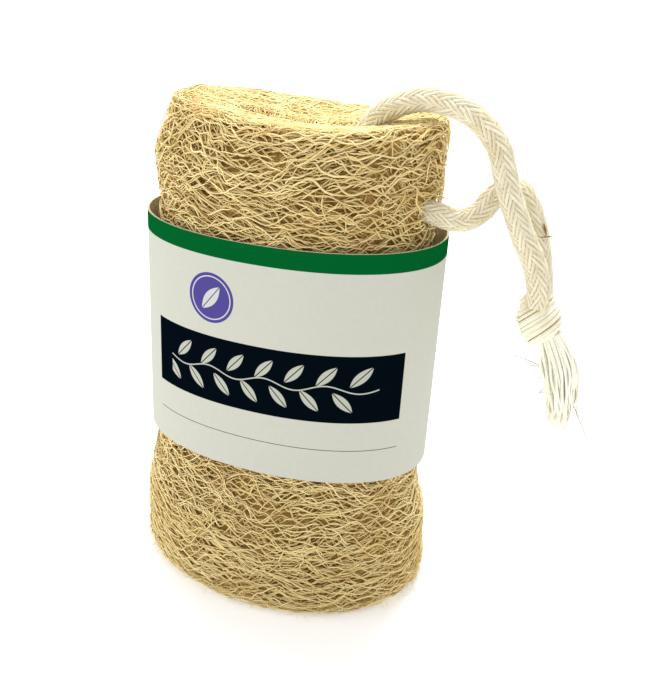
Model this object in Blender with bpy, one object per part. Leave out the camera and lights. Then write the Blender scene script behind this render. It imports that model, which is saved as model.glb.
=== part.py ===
"""Natural loofah sponge, standing on its cut end, in a paper sleeve, with a knotted cotton cord.

Units are metres, +Z is up, and the wide face of the sponge looks along -Y. The origin is on the
ground, under the middle of the sponge. Run it with: blender --background --python part.py
"""

import math
import random

import bmesh
import bpy
from mathutils import Vector

MM = 0.001

# Sponge: a flattened gourd skeleton, cut across at both ends
SPONGE_HEIGHT = 118.8 * MM
SPONGE_BOTTOM_HALF_WIDTH = 39.5 * MM
SPONGE_BOTTOM_HALF_DEPTH = 30.0 * MM
SPONGE_TOP_HALF_WIDTH = 33.0 * MM
SPONGE_TOP_HALF_DEPTH = 18.6 * MM
BOTTOM_EDGE_RADIUS = 3.4 * MM
TOP_EDGE_RADIUS = 3.2 * MM
TOP_END_RISE = 2.6 * MM
TOP_DISH_DEPTH = 1.6 * MM
BASE_REST_HALF_WIDTH = 22.0 * MM
BASE_REST_HALF_DEPTH = 12.0 * MM
BASE_LIFT = 0.3 * MM

# Net: strands that run mostly round the sponge and part and join again
NET_COLUMNS = 18
OPEN_ROW_HEIGHT = 2.1 * MM
COVERED_ROW_HEIGHT = 4.7 * MM
BOTTOM_ROW_WIDTH = 4.6 * MM
TOP_ROW_WIDTH = 3.4 * MM
CANAL_HALF_WIDTH = 2.4 * MM
STRAND_HALF_WIDTH = 0.5 * MM
MOST_STRAND_SHARE = 0.42
PIT_DEPTH = 1.9 * MM
MOST_PIT_SHARE = 1.5
SIDE_WANDER_ALONG = 0.26
EDGE_WANDER_ALONG = 0.18
END_WANDER_ALONG = 0.10
SIDE_WANDER_UP = 0.30
SIDE_WANDER_IN = 0.45 * MM
SIDE_WANDER_OUT = 0.18 * MM
HIDDEN_MARGIN = 3.0 * MM
NET_SEED = 7

# Canal mouths: three shallow hollows in a slit along the middle of the cut top
CANAL_DEPTH = 2.6 * MM
CANAL_SADDLE_SHARE = 0.35
CANAL_FLOOR_LENGTH_SHARE = 0.94
CANAL_FLOOR_WIDTH_SHARE = 0.55

# Paper sleeve: one strip of card, glued to itself at the back
SLEEVE_HALF_WIDTH = 37.5 * MM
SLEEVE_HALF_DEPTH = 21.7 * MM
SLEEVE_ROUNDNESS = 2.15
SLEEVE_BOTTOM = 35.9 * MM
SLEEVE_TOP = 94.4 * MM
SLEEVE_SLOPE = 0.042
SLEEVE_SHIFT = -0.7 * MM
CARD_THICKNESS = 0.5 * MM
SLEEVE_FIT_GAP = 0.35 * MM
GLUED_LAP_START = -14.0 * MM
GLUED_LAP_END = -2.0 * MM
SLEEVE_SIDES = 72

# Cord: one plaited cotton cord through the sponge, its two ends tied together
CORD_DIAMETER = 5.3 * MM
CORD_CLEARANCE = 0.4 * MM
CORD_STEP = 3.8 * MM
KNOT_CENTRE = Vector((59.6, 0.0, 82.1)) * MM
KNOT_HALF_SIZE = Vector((5.1, 6.7, 5.8)) * MM
KNOT_WRAP_AXIS = Vector((-0.5, 0.2, 0.84))
KNOT_WRAPS = 3.0
KNOT_GROOVE_SHARE = 0.11
TASSEL_TOP_LEAN = math.radians(34)
TASSEL_END_LEAN = math.radians(6)
TASSEL_LENGTH = 22.0 * MM
TASSEL_GAP = 0.35 * MM
TASSEL_SEED = 3

# The cord's route, chosen by hand: from the knot up the front strand, over the rim and into the
# top, through the sponge, out of its right-hand side and back down the rear strand
CORD_ROUTE_MM = (
    (59.2, -3.3, 86.2),
    (59.1, -3.3, 90.2),
    (57.4, -3.2, 95.4),
    (54.0, -3.1, 101.3),
    (51.0, -3.0, 107.4),
    (48.4, -2.6, 113.5),
    (46.4, -2.1, 118.5),
    (43.0, -1.6, 122.2),
    (38.8, -1.1, 124.8),
    (33.9, -0.5, 125.8),
    (28.9, 0.0, 125.9),
    (23.6, 0.0, 124.3),
    (18.6, 0.2, 120.8),
    (15.6, 0.2, 115.6),
    (15.8, -0.2, 110.0),
    (19.2, -0.8, 105.7),
    (24.6, -1.5, 103.5),
    (30.4, -2.0, 102.8),
    (35.4, -1.6, 101.8),
    (38.6, -0.8, 101.0),
    (41.4, 0.3, 101.6),
    (43.6, 1.6, 103.5),
    (45.3, 2.6, 106.2),
    (47.3, 3.3, 108.3),
    (49.6, 3.6, 108.9),
    (51.7, 3.6, 107.9),
    (53.4, 3.5, 105.6),
    (54.9, 3.5, 102.4),
    (56.3, 3.5, 98.4),
    (57.4, 3.4, 94.2),
    (58.3, 3.4, 90.0),
    (58.9, 3.3, 86.0),
)


def clear_scene():
    for obj in list(bpy.data.objects):
        bpy.data.objects.remove(obj, do_unlink=True)


def plain_material(name, colour, roughness):
    """A Principled BSDF of one colour."""
    material = bpy.data.materials.new(name)
    material.use_nodes = True
    shader = material.node_tree.nodes["Principled BSDF"]
    shader.inputs["Base Color"].default_value = (*colour, 1.0)
    shader.inputs["Roughness"].default_value = roughness
    shader.inputs["Metallic"].default_value = 0.0
    material.diffuse_color = (*colour, 1.0)
    return material


def mesh_object(name, bm, material):
    """A named object made of this bmesh, with its faces turned outwards."""
    bmesh.ops.recalc_face_normals(bm, faces=bm.faces)
    mesh = bpy.data.meshes.new(name)
    bm.to_mesh(mesh)
    bm.free()
    mesh.materials.append(material)
    obj = bpy.data.objects.new(name, mesh)
    bpy.context.scene.collection.objects.link(obj)
    return obj


def blend(low, high, t):
    """From low to high as t goes from 0 to 1, with a soft start and end."""
    t = min(max(t, 0.0), 1.0)
    return low + (high - low) * t * t * (3.0 - 2.0 * t)


def flattened_round(half_width, half_depth, roundness, angle):
    """A point on a flattened round outline. Roundness 2 is an ellipse, and more is squarer."""
    across, along = math.cos(angle), math.sin(angle)
    return (
        half_width * math.copysign(abs(across) ** (2.0 / roundness), across),
        half_depth * math.copysign(abs(along) ** (2.0 / roundness), along),
    )


def sponge_sections():
    """(height, half width, half depth, roundness, shift along X) up the sponge."""
    held_depth = SLEEVE_HALF_DEPTH - CARD_THICKNESS - SLEEVE_FIT_GAP
    return (
        (0.0, SPONGE_BOTTOM_HALF_WIDTH, SPONGE_BOTTOM_HALF_DEPTH, 1.95, 0.0),
        (16.0 * MM, 38.7 * MM, SPONGE_BOTTOM_HALF_DEPTH - 1.2 * MM, 1.95, -0.3 * MM),
        (33.6 * MM, 36.0 * MM, held_depth, 2.05, SLEEVE_SHIFT),
        (96.5 * MM, 33.9 * MM, held_depth, 2.1, SLEEVE_SHIFT),
        (106.0 * MM, 35.0 * MM, 20.6 * MM, 2.15, SLEEVE_SHIFT),
        (SPONGE_HEIGHT, SPONGE_TOP_HALF_WIDTH, SPONGE_TOP_HALF_DEPTH, 2.3, 1.0 * MM),
    )


def section_at(height):
    """The sponge's half width, half depth, roundness and shift at this height."""
    sections = sponge_sections()
    height = min(max(height, 0.0), SPONGE_HEIGHT)
    for lower, upper in zip(sections, sections[1:]):
        if height <= upper[0]:
            t = (height - lower[0]) / (upper[0] - lower[0])
            return tuple(blend(a, b, t) for a, b in zip(lower[1:], upper[1:]))
    return sections[-1][1:]


def net_rows():
    """(height, distance in from the side, place) of each row of crossings, from the middle of
    the bottom face, over the side, to the middle of the top face."""
    rows = []
    inset = SPONGE_BOTTOM_HALF_DEPTH - CANAL_HALF_WIDTH
    while inset > BOTTOM_EDGE_RADIUS + 0.5 * BOTTOM_ROW_WIDTH:
        rows.append((0.0, inset, "bottom"))
        inset -= BOTTOM_ROW_WIDTH
    for step in range(4):
        turn = step * math.pi / 6.0
        height = BOTTOM_EDGE_RADIUS * (1.0 - math.cos(turn))
        rows.append((height, BOTTOM_EDGE_RADIUS * (1.0 - math.sin(turn)), "edge"))
    height = BOTTOM_EDGE_RADIUS + OPEN_ROW_HEIGHT
    while height < SPONGE_HEIGHT - TOP_EDGE_RADIUS - 0.5 * OPEN_ROW_HEIGHT:
        rows.append((height, 0.0, "side"))
        covered = SLEEVE_BOTTOM + 2.0 * MM < height < SLEEVE_TOP - 4.0 * MM
        height += COVERED_ROW_HEIGHT if covered else OPEN_ROW_HEIGHT
    for step in range(3):
        turn = step * math.pi / 4.0
        height = SPONGE_HEIGHT - TOP_EDGE_RADIUS * (1.0 - math.sin(turn))
        rows.append((height, TOP_EDGE_RADIUS * (1.0 - math.cos(turn)), "rim"))
    inset = TOP_EDGE_RADIUS + TOP_ROW_WIDTH
    while inset < SPONGE_TOP_HALF_DEPTH - CANAL_HALF_WIDTH - 0.5 * TOP_ROW_WIDTH:
        rows.append((SPONGE_HEIGHT, inset, "top"))
        inset += TOP_ROW_WIDTH
    rows.append((SPONGE_HEIGHT, SPONGE_TOP_HALF_DEPTH - CANAL_HALF_WIDTH, "top"))
    return rows


def end_rise(x, height):
    """How much the cut top stands higher towards the two narrow ends."""
    share = blend(0.0, 1.0, (height - SLEEVE_TOP) / (SPONGE_HEIGHT - SLEEVE_TOP))
    return TOP_END_RISE * share * min(abs(x) / SPONGE_TOP_HALF_WIDTH, 1.0) ** 2


def sponge_point(row, angle, wander):
    """A crossing of the net, moved a little off its place by wander (along, up, out)."""
    height, inset, place = row
    along, up, out = wander
    if place == "side":
        height += up
    half_width, half_depth, roundness, shift = section_at(height)
    inset -= out if place in ("side", "rim") else 0.0
    x, y = flattened_round(half_width - inset, half_depth - inset, roundness, angle + along)
    z = height + end_rise(x, height)
    if place == "top":
        z -= TOP_DISH_DEPTH * blend(0.0, 1.0, inset / SPONGE_TOP_HALF_DEPTH)
    return Vector((x + shift, y, z))


def near_sleeve(height):
    return SLEEVE_BOTTOM - HIDDEN_MARGIN < height < SLEEVE_TOP + HIDDEN_MARGIN


def wander_limits(row):
    """How far a crossing in this row may stray: (share of a cell along, up, in, out)."""
    height, _, place = row
    if place in ("edge", "rim"):
        return EDGE_WANDER_ALONG, 0.0, 0.0, 0.0
    if place != "side":
        return END_WANDER_ALONG, 0.0, 0.0, 0.0
    if near_sleeve(height):
        return SIDE_WANDER_ALONG, SIDE_WANDER_UP * COVERED_ROW_HEIGHT, 0.0, 0.0
    return SIDE_WANDER_ALONG, SIDE_WANDER_UP * OPEN_ROW_HEIGHT, SIDE_WANDER_IN, SIDE_WANDER_OUT


def net_crossings(bm, rows, draw):
    """One ring of vertices for each row, every other ring turned by half a cell."""
    rings = []
    step = 2.0 * math.pi / NET_COLUMNS
    for number, row in enumerate(rows):
        along, up, inwards, outwards = wander_limits(row)
        ring = []
        for column in range(NET_COLUMNS):
            angle = (column + 0.5 * (number % 2)) * step
            wander = (
                draw.uniform(-along, along) * step,
                draw.uniform(-up, up),
                draw.uniform(-inwards, outwards),
            )
            ring.append(bm.verts.new(sponge_point(row, angle, wander)))
        rings.append(ring)
    return rings


def close_ring(bm, ring):
    """Closes a flattened ring of vertices with a strip of faces across it."""
    for step in range(len(ring) // 2):
        corners = []
        for vert in (ring[step], ring[step + 1], ring[-step - 1], ring[-step]):
            if vert not in corners:
                corners.append(vert)
        bm.faces.new(corners)


def pit_cell(bm, face, draw):
    """Leaves a cell's border as flat strands and pushes its middle in to a pit."""
    size = 2.0 * face.calc_area() / face.calc_perimeter()
    width = min(STRAND_HALF_WIDTH * draw.uniform(0.8, 1.15), MOST_STRAND_SHARE * size)
    depth = min(PIT_DEPTH * draw.uniform(0.7, 1.15), MOST_PIT_SHARE * size)
    bmesh.ops.inset_individual(bm, faces=[face], thickness=width, depth=0.0, use_even_offset=True)
    bmesh.ops.poke(bm, faces=[face], offset=-depth, center_mode="MEAN")


def make_sponge(material):
    """One closed solid: rings of net crossings, joined into lens-shaped cells with pits."""
    draw = random.Random(NET_SEED)
    bm = bmesh.new()
    rows = net_rows()
    rings = net_crossings(bm, rows, draw)
    cells = []
    for number in range(1, len(rings) - 1):
        below, ring, above = rings[number - 1], rings[number], rings[number + 1]
        for column in range(NET_COLUMNS):
            right = (column + 1) % NET_COLUMNS
            middle = right if number % 2 else column
            corners = (ring[column], below[middle], ring[right], above[middle])
            cells.append(bm.faces.new(corners))
    for column in range(NET_COLUMNS):
        right = (column + 1) % NET_COLUMNS
        bm.faces.new((rings[0][right], rings[0][column], rings[1][column]))
        last = len(rings) - 1
        middle = right if last % 2 else column
        bm.faces.new((rings[last][column], rings[last - 1][middle], rings[last][right]))
    close_ring(bm, rings[0])
    bmesh.ops.recalc_face_normals(bm, faces=bm.faces)
    bm.normal_update()
    for cell in cells:
        pit_cell(bm, cell, draw)
    sink_canals(bm, rings[-1])
    places = [place for _, _, place in rows]
    stand_on_four_points(bm, rings[places.index("edge")])
    return mesh_object("loofah_sponge", bm, material)


def stand_on_four_points(bm, ring):
    """Lifts the base a little outside its flat middle, apart from four crossings far apart in
    the ring under its edge. The sponge stands on those, so it neither rocks nor creeps."""
    feet = []
    for right in (-1.0, 1.0):
        for back in (-1.0, 1.0):
            reach = (right / SPONGE_BOTTOM_HALF_WIDTH, back / SPONGE_BOTTOM_HALF_DEPTH)
            feet.append(max(ring, key=lambda vert: vert.co.x * reach[0] + vert.co.y * reach[1]))
    for vert in bm.verts:
        beyond = abs(vert.co.x) > BASE_REST_HALF_WIDTH or abs(vert.co.y) > BASE_REST_HALF_DEPTH
        lowest = BASE_LIFT if beyond and vert not in feet else 0.0
        vert.co.z = max(vert.co.z, lowest)


def sink_canals(bm, ring):
    """Closes the top with three shallow slits, the mouths of the gourd's seed canals."""
    floor = [bm.verts.new(vert.co) for vert in ring]
    middle = sum((vert.co for vert in ring), Vector()) / len(ring)
    reach = max(abs(vert.co.x - middle.x) for vert in ring)
    for vert in floor:
        offset = vert.co - middle
        vert.co.x = middle.x + CANAL_FLOOR_LENGTH_SHARE * offset.x
        vert.co.y = middle.y + CANAL_FLOOR_WIDTH_SHARE * offset.y
        lobes = math.cos(1.5 * math.pi * offset.x / reach) ** 2
        vert.co.z -= CANAL_DEPTH * (CANAL_SADDLE_SHARE + (1.0 - CANAL_SADDLE_SHARE) * lobes)
    for column in range(len(ring)):
        right = (column + 1) % len(ring)
        bm.faces.new((ring[column], ring[right], floor[right], floor[column]))
    close_ring(bm, floor)


def cubic_between(before, start, end, after, t):
    """A point on the smooth curve from start to end that also minds the points on either side."""
    return 0.5 * (
        2.0 * start
        + (end - before) * t
        + (2.0 * before - 5.0 * start + 4.0 * end - after) * t * t
        + (3.0 * start - before - 3.0 * end + after) * t * t * t
    )


def cord_line():
    """Points at even steps along the smooth curve through the cord's route."""
    route = [Vector(point) * MM for point in CORD_ROUTE_MM]
    padded = [2.0 * route[0] - route[1], *route, 2.0 * route[-1] - route[-2]]
    fine = []
    for index in range(1, len(padded) - 2):
        for part in range(12):
            fine.append(cubic_between(*padded[index - 1 : index + 3], part / 12.0))
    fine.append(route[-1])
    lengths = [0.0]
    for a, b in zip(fine, fine[1:]):
        lengths.append(lengths[-1] + (b - a).length)
    count = round(lengths[-1] / CORD_STEP)
    line, place = [], 0
    for step in range(count + 1):
        wanted = lengths[-1] * step / count
        while place < len(fine) - 2 and lengths[place + 1] < wanted:
            place += 1
        t = (wanted - lengths[place]) / (lengths[place + 1] - lengths[place])
        line.append(fine[place].lerp(fine[place + 1], t))
    return line


def add_tube(bm, points, radii, sides):
    """A closed tube through these points, with its own radius at each."""
    rings = []
    side = Vector((0.0, 1.0, 0.0))
    for index, point in enumerate(points):
        ahead = points[min(index + 1, len(points) - 1)] - points[max(index - 1, 0)]
        ahead.normalize()
        side = (side - ahead * side.dot(ahead)).normalized()
        other = ahead.cross(side)
        ring = []
        for number in range(sides):
            angle = 2.0 * math.pi * number / sides
            spoke = side * math.cos(angle) + other * math.sin(angle)
            ring.append(bm.verts.new(point + spoke * radii[index]))
        rings.append(ring)
    for lower, upper in zip(rings, rings[1:]):
        for number in range(sides):
            right = (number + 1) % sides
            bm.faces.new((lower[number], lower[right], upper[right], upper[number]))
    bm.faces.new(rings[0][::-1])
    bm.faces.new(rings[-1])


def make_cord(material):
    """The whole cord as one plain tube."""
    curve = bpy.data.curves.new("hanging_cord", "CURVE")
    curve.dimensions = "3D"
    curve.bevel_depth = 0.5 * CORD_DIAMETER
    curve.bevel_resolution = 3
    curve.use_fill_caps = True
    line = cord_line()
    spline = curve.splines.new("POLY")
    spline.points.add(len(line) - 1)
    for point, place in zip(spline.points, line):
        point.co = (*place, 1.0)
    curve.materials.append(material)
    obj = bpy.data.objects.new("hanging_cord", curve)
    bpy.context.scene.collection.objects.link(obj)
    return obj


def cut_cord_way(target, name):
    """Cuts a channel for the cord, a little wider than it, out of this object."""
    bm = bmesh.new()
    line = cord_line()
    first = line[0] - (line[1] - line[0]).normalized() * CORD_CLEARANCE
    last = line[-1] - (line[-2] - line[-1]).normalized() * CORD_CLEARANCE
    way = [first, *line[1:-1], last]
    radius = 0.5 * CORD_DIAMETER + CORD_CLEARANCE
    add_tube(bm, way, [radius] * len(way), 14)
    cutter = mesh_object(name, bm, target.data.materials[0])
    cutter.hide_render = True
    cutter.display_type = "WIRE"
    cut = target.modifiers.new("cord way", "BOOLEAN")
    cut.operation = "DIFFERENCE"
    cut.object = cutter


def make_knot(material):
    """A tight overhand knot: a round body with slanting turns of cord standing out of it."""
    bm = bmesh.new()
    bmesh.ops.create_uvsphere(bm, u_segments=26, v_segments=16, radius=1.0)
    for vert in bm.verts:
        slant = max(-1.0, min(1.0, vert.co.dot(KNOT_WRAP_AXIS)))
        wrap = abs(math.sin(KNOT_WRAPS * math.acos(slant)))
        swell = 1.0 - KNOT_GROOVE_SHARE * (1.0 - wrap)
        vert.co = KNOT_CENTRE + Vector(a * b for a, b in zip(vert.co, KNOT_HALF_SIZE)) * swell
    return mesh_object("cord_knot", bm, material)


def leaning(angle):
    """The direction that leans outwards from straight down by this angle."""
    return Vector((math.sin(angle), 0.0, -math.cos(angle)))


def tassel_strand(spoke, spread, length):
    """Points down one frayed yarn, which swings from the knot's lean to a steeper fall."""
    first, last = leaning(TASSEL_TOP_LEAN), leaning(TASSEL_END_LEAN)
    seat = 0.5 * (KNOT_HALF_SIZE.x + KNOT_HALF_SIZE.z) + TASSEL_GAP
    top = KNOT_CENTRE + first * seat + spoke
    points = []
    for part in range(6):
        t = part / 5.0
        fall = first * (t - 0.5 * t * t) + last * (0.5 * t * t)
        points.append(top + fall * length + spread * t)
    return points


def tassel_strands(draw):
    """(points, radii, sides) of a full core and of the yarns that stand out round it."""
    across = Vector((math.cos(TASSEL_TOP_LEAN), 0.0, math.sin(TASSEL_TOP_LEAN)))
    away = Vector((0.0, 1.0, 0.0))
    core = tassel_strand(Vector(), Vector(), 0.85 * TASSEL_LENGTH)
    strands = [(core, [blend(2.9, 2.3, part / 5.0) * MM for part in range(6)], 12)]
    for number in range(11):
        angle = 2.0 * math.pi * number / 11
        spoke = across * math.cos(angle) + away * math.sin(angle)
        start = spoke * 2.3 * MM + leaning(TASSEL_TOP_LEAN) * 0.6 * MM
        spread = spoke * draw.uniform(0.6, 1.6) * MM
        points = tassel_strand(start, spread, TASSEL_LENGTH * draw.uniform(0.86, 1.0))
        strands.append((points, [blend(1.15, 0.6, part / 5.0) * MM for part in range(6)], 7))
    return strands


def make_tassel(material):
    """The two frayed cord ends below the knot, as yarns joined at their core."""
    pieces = bpy.data.collections.new("tassel pieces")
    bpy.context.scene.collection.children.link(pieces)
    objects = []
    for number, (points, radii, sides) in enumerate(tassel_strands(random.Random(TASSEL_SEED))):
        bm = bmesh.new()
        add_tube(bm, points, radii, sides)
        obj = mesh_object(f"cord_tassel_{number}", bm, material)
        if number:
            bpy.context.scene.collection.objects.unlink(obj)
            pieces.objects.link(obj)
        objects.append(obj)
    tassel = objects[0]
    tassel.name = "cord_tassel"
    tassel.data.name = "cord_tassel"
    join = tassel.modifiers.new("yarns", "BOOLEAN")
    join.operation = "UNION"
    join.operand_type = "COLLECTION"
    join.collection = pieces
    join.solver = "MANIFOLD"
    graph = bpy.context.evaluated_depsgraph_get()
    joined = bpy.data.meshes.new_from_object(tassel.evaluated_get(graph))
    tassel.modifiers.clear()
    tassel.data = joined
    for obj in objects[1:]:
        bpy.data.objects.remove(obj, do_unlink=True)
    bpy.data.collections.remove(pieces)
    return tassel


def sleeve_outline():
    """(x, y, extra thickness) round the sleeve's outer face, with the glued lap at the back."""
    outline = []
    for number in range(SLEEVE_SIDES):
        angle = 2.0 * math.pi * number / SLEEVE_SIDES
        x, y = flattened_round(SLEEVE_HALF_WIDTH, SLEEVE_HALF_DEPTH, SLEEVE_ROUNDNESS, angle)
        lapped = y > 0.0 and GLUED_LAP_START < x < GLUED_LAP_END
        extra = CARD_THICKNESS if lapped else 0.0
        if outline and outline[-1][2] != extra:
            middle_x = 0.5 * (outline[-1][0] + x)
            middle_y = 0.5 * (outline[-1][1] + y)
            outline.append((middle_x + 0.05 * MM, middle_y, outline[-1][2]))
            outline.append((middle_x - 0.05 * MM, middle_y, extra))
        outline.append((x, y, extra))
    return outline


def make_sleeve(material):
    """The paper band, standing a little off the sponge at its narrow ends."""
    bm = bmesh.new()
    rings = []
    outline = sleeve_outline()
    shrink_x = 1.0 - CARD_THICKNESS / SLEEVE_HALF_WIDTH
    shrink_y = 1.0 - CARD_THICKNESS / SLEEVE_HALF_DEPTH
    corners = ((True, SLEEVE_BOTTOM), (True, SLEEVE_TOP), (False, SLEEVE_TOP), (False, SLEEVE_BOTTOM))
    for outer, height in corners:
        ring = []
        for x, y, extra in outline:
            place = (x, y + extra) if outer else (x * shrink_x, y * shrink_y)
            z = height + SLEEVE_SLOPE * x
            ring.append(bm.verts.new((place[0] + SLEEVE_SHIFT, place[1], z)))
        rings.append(ring)
    for number, ring in enumerate(rings):
        following = rings[(number + 1) % 4]
        for side in range(len(ring)):
            right = (side + 1) % len(ring)
            bm.faces.new((ring[side], ring[right], following[right], following[side]))
    return mesh_object("paper_sleeve", bm, material)


def main():
    clear_scene()
    loofah = plain_material("loofah fibre", (0.62, 0.46, 0.22), 0.9)
    paper = plain_material("label paper", (0.74, 0.73, 0.66), 0.65)
    cotton = plain_material("cotton cord", (0.85, 0.80, 0.62), 0.95)
    sponge = make_sponge(loofah)
    cut_cord_way(sponge, "sponge_cord_way")
    make_sleeve(paper)
    make_cord(cotton)
    knot = make_knot(cotton)
    cut_cord_way(knot, "knot_cord_way")
    make_tassel(cotton)


main()
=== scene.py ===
"""The looks of a natural loofah sponge in a paper sleeve, with a plaited cotton cord.

Every size is in metres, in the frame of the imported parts: +Z is up, the wide face looks along -Y
and the sponge stands on the ground at the origin.
"""

import math

import bmesh
import bpy
import numpy as np
from mathutils import Matrix, Vector
from mathutils.kdtree import KDTree


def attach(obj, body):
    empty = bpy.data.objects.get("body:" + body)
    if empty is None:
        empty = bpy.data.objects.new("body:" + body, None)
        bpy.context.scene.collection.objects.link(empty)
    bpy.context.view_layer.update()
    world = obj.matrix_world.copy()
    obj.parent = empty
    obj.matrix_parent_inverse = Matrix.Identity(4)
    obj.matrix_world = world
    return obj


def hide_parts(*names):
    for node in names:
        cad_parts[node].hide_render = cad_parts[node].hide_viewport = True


MM = 0.001

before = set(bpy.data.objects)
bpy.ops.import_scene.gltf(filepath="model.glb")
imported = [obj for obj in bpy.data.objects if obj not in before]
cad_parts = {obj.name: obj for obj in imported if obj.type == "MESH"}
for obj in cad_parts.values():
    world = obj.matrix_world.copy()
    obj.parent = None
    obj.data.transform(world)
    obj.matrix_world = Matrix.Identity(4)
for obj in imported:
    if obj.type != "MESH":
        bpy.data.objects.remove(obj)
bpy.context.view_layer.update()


# Camera, at the photograph's viewing angle

PICTURE_LONG_SIDE = 692
FOCAL_LENGTH_PIXELS = 976.055
CAMERA_YAW = math.radians(22.094)
CAMERA_ELEVATION = math.radians(26.633)
CAMERA_ROLL = math.radians(3.265)
CAMERA_DISTANCE = 245.666 * MM
CAMERA_AIM_ALONG = 8.791 * MM
CAMERA_AIM_HEIGHT = 60.674 * MM
SPONGE_SHIFT = -0.7 * MM


def make_camera():
    """The camera looks down at the sponge's wide face and its right-hand end."""
    back = Vector(
        (
            math.sin(CAMERA_YAW) * math.cos(CAMERA_ELEVATION),
            -math.cos(CAMERA_YAW) * math.cos(CAMERA_ELEVATION),
            math.sin(CAMERA_ELEVATION),
        )
    )
    level = Vector((math.cos(CAMERA_YAW), math.sin(CAMERA_YAW), 0.0))
    upright = back.cross(level)
    right = level * math.cos(CAMERA_ROLL) + upright * math.sin(CAMERA_ROLL)
    above = upright * math.cos(CAMERA_ROLL) - level * math.sin(CAMERA_ROLL)
    aim = level * CAMERA_AIM_ALONG + Vector((SPONGE_SHIFT, 0.0, CAMERA_AIM_HEIGHT))
    data = bpy.data.cameras.new("camera")
    data.sensor_width = 36.0
    data.lens = FOCAL_LENGTH_PIXELS * data.sensor_width / PICTURE_LONG_SIDE
    data.clip_start = 0.01
    data.clip_end = 20.0
    camera = bpy.data.objects.new("camera", data)
    turn = Matrix((right, above, back)).transposed().to_4x4()
    camera.matrix_world = Matrix.Translation(aim + back * CAMERA_DISTANCE) @ turn
    bpy.context.scene.collection.objects.link(camera)
    bpy.context.scene.camera = camera


make_camera()


# Node trees


class Tree:
    """A short way to write a node tree: each call adds a node and gives back its output."""

    def __init__(self, tree):
        self.tree = tree

    def node(self, kind, inputs=None, **settings):
        """The node itself, with its settings and what goes into it."""
        node = self.tree.nodes.new(kind)
        for name, value in settings.items():
            setattr(node, name, value)
        for name, value in (inputs or {}).items():
            self.feed(node.inputs[name], value)
        return node

    def feed(self, socket, value):
        """Links another node's output to a socket, or sets the socket's own value."""
        if isinstance(value, bpy.types.NodeSocket):
            self.tree.links.new(value, socket)
        else:
            socket.default_value = value

    def math(self, operation, *values):
        node = self.node("ShaderNodeMath", operation=operation)
        for socket, value in zip(node.inputs, values):
            self.feed(socket, value)
        return node.outputs[0]

    def plus(self, first, second):
        return self.math("ADD", first, second)

    def minus(self, first, second):
        return self.math("SUBTRACT", first, second)

    def times(self, first, second):
        return self.math("MULTIPLY", first, second)

    def over(self, first, second):
        return self.math("DIVIDE", first, second)

    def vector(self, operation, first, second):
        node = self.node("ShaderNodeVectorMath", operation=operation)
        self.feed(node.inputs[0], first)
        self.feed(node.inputs[1], second)
        return node.outputs["Vector"]

    def scaled(self, vector, factor):
        node = self.node("ShaderNodeVectorMath", {"Scale": factor}, operation="SCALE")
        self.feed(node.inputs[0], vector)
        return node.outputs["Vector"]

    def between(self, value, low, high):
        """Goes smoothly from 0 to 1 as value goes from low to high."""
        inputs = {"Value": value, "From Min": low, "From Max": high}
        node = self.node("ShaderNodeMapRange", inputs, interpolation_type="SMOOTHSTEP")
        return node.outputs["Result"]

    def inside(self, value, low, high, soft=0.05):
        """1 from low to high and 0 outside, with edges this soft."""
        above = self.between(value, low - soft, low + soft)
        return self.times(above, self.between(value, high + soft, high - soft))

    def mix(self, share, first, second):
        """One colour going over to another, by the Mix node's colour sockets."""
        node = self.node("ShaderNodeMix", data_type="RGBA")
        self.feed(node.inputs[0], share)
        self.feed(node.inputs[6], first)
        self.feed(node.inputs[7], second)
        return node.outputs[2]

    def noise(self, place, scale, detail=2.0, roughness=0.5):
        inputs = {"Vector": place, "Scale": scale, "Detail": detail, "Roughness": roughness}
        return self.node("ShaderNodeTexNoise", inputs).outputs["Fac"]

    def bump(self, strength, distance, height):
        inputs = {"Strength": strength, "Distance": distance, "Height": height}
        return self.node("ShaderNodeBump", inputs).outputs[0]

    def attribute(self, name):
        return self.node("ShaderNodeAttribute", attribute_name=name).outputs["Fac"]

    def place(self):
        """The point that is shaded, in the object's own metres."""
        return self.node("ShaderNodeTexCoord").outputs["Object"]


def colour(red, green, blue):
    """A linear colour from its 0 to 255 screen values."""
    linear = []
    for value in (red, green, blue):
        share = value / 255.0
        linear.append(share / 12.92 if share <= 0.04045 else ((share + 0.055) / 1.055) ** 2.4)
    return (*linear, 1.0)


def new_geometry_tree(name, inputs):
    """A Geometry Nodes tree with these inputs, each with its kind of socket."""
    tree = bpy.data.node_groups.new(name, "GeometryNodeTree")
    for direction in ("INPUT", "OUTPUT"):
        tree.interface.new_socket("Geometry", in_out=direction, socket_type="NodeSocketGeometry")
    for label, kind in inputs.items():
        tree.interface.new_socket(label, in_out="INPUT", socket_type="NodeSocket" + kind)
    t = Tree(tree)
    return t, t.node("NodeGroupInput"), t.node("NodeGroupOutput")


def profile(t, sides):
    """A circle 1 m across, which each strand scales to its own thickness."""
    inputs = {"Resolution": sides, "Radius": 0.5}
    return t.node("GeometryNodeCurvePrimitiveCircle", inputs).outputs[0]


def stored(t, geometry, name, value):
    """The same curve with a number of this name at each point."""
    return t.node(
        "GeometryNodeStoreNamedAttribute",
        {"Geometry": geometry, "Name": name, "Value": value},
        data_type="FLOAT",
        domain="POINT",
    ).outputs[0]


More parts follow.
